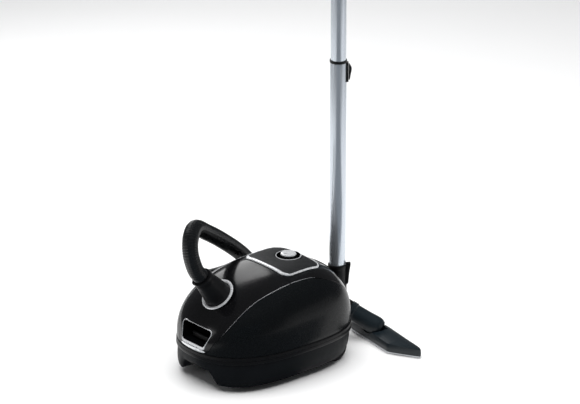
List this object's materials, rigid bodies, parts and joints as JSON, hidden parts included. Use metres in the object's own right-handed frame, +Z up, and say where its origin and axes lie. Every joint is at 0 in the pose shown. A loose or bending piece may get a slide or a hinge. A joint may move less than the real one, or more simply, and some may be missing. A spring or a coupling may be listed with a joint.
{
  "type": "canister vacuum cleaner",
  "caption": "Bagged canister vacuum cleaner with a lift-up lid, swivelling suction hose, and a telescopic wand and floor nozzle parked upright at its tail.",
  "frame": {"origin": "on the floor, at the centre of the footprint of everything but the free hose", "axes": "+Z up; the machine's nose points to -Y, its left side to +X"},
  "size_m": [0.65, 0.6418, 0.922],
  "materials": {
    "gloss_black": "polished moulded plastic",
    "satin_black": "satin moulded plastic",
    "matte_graphite": "fine-textured moulded plastic",
    "silver_trim": "bright plated trim",
    "wand_metal": "brushed and clear-coated tube",
    "rubber_black": "soft rubber",
    "hose_black": "ribbed flexible hose",
    "inner_grey": "moulded plastic",
    "motor_metal": "bare casting",
    "bag_paper": "non-woven fleece",
    "filter_white": "filter fleece",
    "steel": "brushed sheet",
    "board_green": "circuit board",
    "bristle": "bristle strip"
  },
  "bodies": {
    "chassis": {"rear_cover": "gloss_black", "side_panel_left": "satin_black", "side_panel_right": "satin_black", "bumper_strip": "satin_black", "base_tub": "matte_graphite", "bag_holder": "inner_grey", "suction_hose": "hose_black", "handle_cuff": "satin_black", "hose_handle": "satin_black", "handle_spigot": "satin_black", "control_panel": "satin_black", "panel_trim": "silver_trim", "dial_bezel": "satin_black", "control_board": "board_green", "exhaust_grille": "satin_black", "exhaust_filter": "filter_white", "motor_bulkhead": "inner_grey", "motor_filter": "filter_white", "motor_housing": "inner_grey", "motor_can": "motor_metal", "drum_spindle": "steel", "dust_bag": "bag_paper", "cable_outlet": "rubber_black", "rear_axle": "steel", "axle_cradle": "matte_graphite", "castor_socket": "matte_graphite", "base_screw_1": "steel", "base_screw_2": "steel", "parking_bracket": "matte_graphite"},
    "lid": {"front_lid": "gloss_black", "window_frame": "silver_trim", "grip_recess": "satin_black", "inlet_port": "silver_trim"},
    "lid_latch": {"lid_latch": "satin_black"},
    "hose_swivel": {"hose_cuff": "satin_black"},
    "cuff_button": {"cuff_button": "rubber_black"},
    "dial_carrier": {"dial_carrier": "inner_grey"},
    "power_dial": {"power_dial": "silver_trim"},
    "suction_slider": {"suction_slider": "silver_trim"},
    "rear_wheel_left": {"rear_wheel_left": "rubber_black"},
    "rear_wheel_right": {"rear_wheel_right": "rubber_black"},
    "castor_fork": {"castor_fork": "satin_black", "castor_axle": "steel"},
    "castor_wheel": {"castor_wheel": "rubber_black"},
    "cord_drum": {"cord_drum": "inner_grey"},
    "fan": {"fan_impeller": "inner_grey"},
    "wand": {"lower_tube": "wand_metal", "tube_collar": "satin_black", "lock_saddle": "satin_black", "elbow_socket": "satin_black", "parking_hook": "satin_black"},
    "upper_tube": {"upper_tube": "wand_metal", "tube_end_sleeve": "satin_black"},
    "lock_button": {"tube_lock_button": "satin_black"},
    "socket_release": {"socket_release": "satin_black"},
    "nozzle_neck": {"nozzle_neck": "matte_graphite"},
    "nozzle": {"nozzle_body": "matte_graphite", "sole_plate": "steel"},
    "nozzle_pedal": {"nozzle_pedal": "steel"},
    "brush_strip": {"brush_strip": "bristle"}
  },
  "joints": [
    {"name": "lid_hinge", "type": "hinge", "parent": "chassis", "child": "lid", "pos_m": [0.0942, -0.0568, 0.2315], "axis": [-1, 0, 0], "range_deg": [0, 55], "deforming": ["suction_hose"]},
    {"name": "latch_pull", "type": "slide", "parent": "lid", "child": "lid_latch", "axis": [0, 0, 1], "range_m": [0, 0.004], "stiffness_N_per_m": 400},
    {"name": "cuff_swivel", "type": "hinge", "parent": "lid", "child": "hose_swivel", "pos_m": [0.0942, -0.1868, 0.194], "axis": [0, -0.6428, 0.766], "continuous": true},
    {"name": "cuff_release", "type": "slide", "parent": "hose_swivel", "child": "cuff_button", "axis": [0.7387, 0.5164, 0.4333], "range_m": [0, 0.0025], "stiffness_N_per_m": 400},
    {"name": "dial_press", "type": "slide", "parent": "chassis", "child": "dial_carrier", "axis": [0, 0, -1], "range_m": [0, 0.0025], "stiffness_N_per_m": 600},
    {"name": "dial_turn", "type": "hinge", "parent": "dial_carrier", "child": "power_dial", "pos_m": [0.0942, 0.0152, 0.228], "axis": [0, 0, -1], "range_deg": [-135, 135]},
    {"name": "suction_slide", "type": "slide", "parent": "chassis", "child": "suction_slider", "axis": [0.7659, -0.6429, 0], "range_m": [-0.005, 0.005]},
    {"name": "rear_wheel_left_roll", "type": "hinge", "parent": "chassis", "child": "rear_wheel_left", "pos_m": [0.1922, 0.0662, 0.03], "axis": [1, 0, 0], "continuous": true},
    {"name": "rear_wheel_right_roll", "type": "hinge", "parent": "chassis", "child": "rear_wheel_right", "pos_m": [-0.0038, 0.0662, 0.03], "axis": [1, 0, 0], "continuous": true},
    {"name": "castor_swivel", "type": "hinge", "parent": "chassis", "child": "castor_fork", "pos_m": [0.0942, -0.1668, 0.04], "axis": [0, 0, 1], "continuous": true},
    {"name": "castor_roll", "type": "hinge", "parent": "castor_fork", "child": "castor_wheel", "pos_m": [0.0942, -0.1608, 0.014], "axis": [1, 0, 0], "continuous": true},
    {"name": "drum_spin", "type": "hinge", "parent": "chassis", "child": "cord_drum", "pos_m": [0.1492, 0.0382, 0.088], "axis": [0, 0, 1], "continuous": true},
    {"name": "fan_spin", "type": "hinge", "parent": "chassis", "child": "fan", "pos_m": [0.0542, -0.0018, 0.092], "axis": [0, 1, 0], "continuous": true},
    {"name": "wand_lift", "type": "slide", "parent": "chassis", "child": "wand", "axis": [0, 0, 1], "range_m": [0, 0.08]},
    {"name": "tube_telescope", "type": "slide", "parent": "wand", "child": "upper_tube", "axis": [0, 0, 1], "range_m": [-0.22, 0.2]},
    {"name": "lock_slide", "type": "slide", "parent": "wand", "child": "lock_button", "axis": [0, 0, -1], "range_m": [0, 0.003], "stiffness_N_per_m": 300},
    {"name": "socket_release_press", "type": "slide", "parent": "wand", "child": "socket_release", "axis": [-0.6429, -0.7659, 0], "range_m": [0, 0.0013], "stiffness_N_per_m": 400},
    {"name": "neck_swivel", "type": "hinge", "parent": "wand", "child": "nozzle_neck", "pos_m": [0.0882, 0.1642, 0.079], "axis": [0.7577, 0.4692, -0.4536], "range_deg": [-15, 15]},
    {"name": "nozzle_tilt", "type": "hinge", "parent": "nozzle_neck", "child": "nozzle", "pos_m": [0.1662, 0.2125, 0.0323], "axis": [0.9885, -0.1513, 0], "range_deg": [-3, 20]},
    {"name": "pedal_press", "type": "hinge", "parent": "nozzle", "child": "nozzle_pedal", "pos_m": [0.11753, 0.21979, 0.02575], "axis": [-0.9885, 0.1513, 0], "range_deg": [0, 8]},
    {"name": "brush_drop", "type": "slide", "parent": "nozzle", "child": "brush_strip", "axis": [0, 0, -1], "range_m": [0, 0.0042]}
  ],
  "couplings": [
    {"joint": "brush_drop", "follows": "pedal_press", "m_per_rad": 0.0286}
  ]
}
